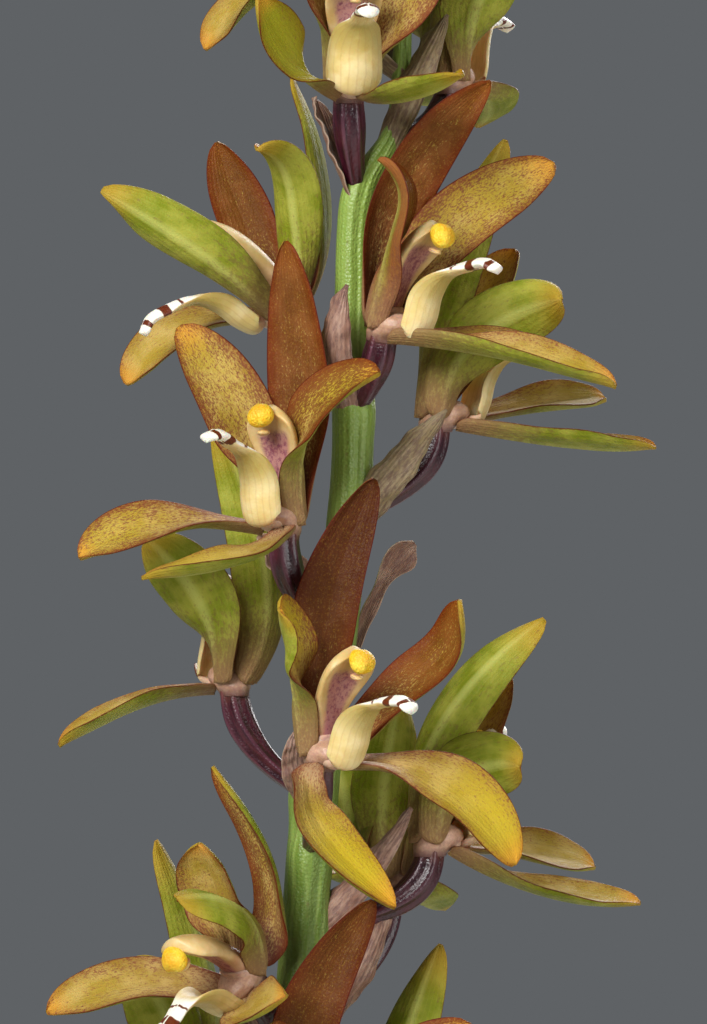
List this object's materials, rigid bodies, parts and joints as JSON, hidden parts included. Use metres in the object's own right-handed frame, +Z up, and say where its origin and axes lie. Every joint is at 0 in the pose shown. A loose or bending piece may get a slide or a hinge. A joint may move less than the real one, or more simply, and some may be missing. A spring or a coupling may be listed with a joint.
{
  "type": "potted orchid",
  "caption": "Woodland orchid in a clay pot: pleated leaves and a tall upright spray of olive and red-brown blooms with cream lips, resting flat on its foot.",
  "frame": {"origin": "centre of the underside of the pot's foot", "axes": "+Z up along the pot's axis, -Y towards the side the picture was taken from, +X to the right of the picture"},
  "size_m": [0.382, 0.1895, 0.6331],
  "materials": {
    "clay": "matte unglazed clay",
    "soil": "damp crumbly bark and leaf mould",
    "corm": "dull fibrous skin",
    "sheath_green": "satin ribbed",
    "sheath_dry": "dry papery",
    "leaf": "satin pleated",
    "stem": "glossy ribbed",
    "tepal": "satin speckled",
    "lip": "soft waxy",
    "anther": "waxy",
    "bud": "satin"
  },
  "bodies": {
    "root": {"pot": "clay", "soil": "soil", "corm": "corm", "sheath_long": "sheath_green", "sheath_short": "sheath_dry", "leaf_left": "leaf", "leaf_right": "leaf", "stem": "stem", "raceme_tip": "bud", "bloom_01_tepals": "tepal", "bloom_01_lip": "lip", "bloom_01_anther": "anther", "bloom_02_tepals": "tepal", "bloom_02_lip": "lip", "bloom_02_anther": "anther", "bloom_03_tepals": "tepal", "bloom_03_lip": "lip", "bloom_03_anther": "anther", "bloom_04_tepals": "tepal", "bloom_04_lip": "lip", "bloom_04_anther": "anther", "bloom_05_tepals": "tepal", "bloom_05_lip": "lip", "bloom_05_anther": "anther", "bloom_06_tepals": "tepal", "bloom_06_lip": "lip", "bloom_06_anther": "anther", "bloom_07_tepals": "tepal", "bloom_07_lip": "lip", "bloom_07_anther": "anther", "bloom_08_tepals": "tepal", "bloom_08_lip": "lip", "bloom_08_anther": "anther", "bloom_09_tepals": "tepal", "bloom_09_lip": "lip", "bloom_09_anther": "anther", "bloom_10_tepals": "tepal", "bloom_10_lip": "lip", "bloom_10_anther": "anther", "bloom_11_tepals": "tepal", "bloom_11_lip": "lip", "bloom_11_anther": "anther", "bloom_12_tepals": "tepal", "bloom_12_lip": "lip", "bloom_12_anther": "anther", "bloom_13_tepals": "tepal", "bloom_13_lip": "lip", "bloom_13_anther": "anther", "bloom_14_tepals": "tepal", "bloom_14_lip": "lip", "bloom_14_anther": "anther", "bloom_15_tepals": "tepal", "bloom_15_lip": "lip", "bloom_15_anther": "anther", "bloom_16_tepals": "tepal", "bloom_16_lip": "lip", "bloom_16_anther": "anther"}
  },
  "joints": []
}
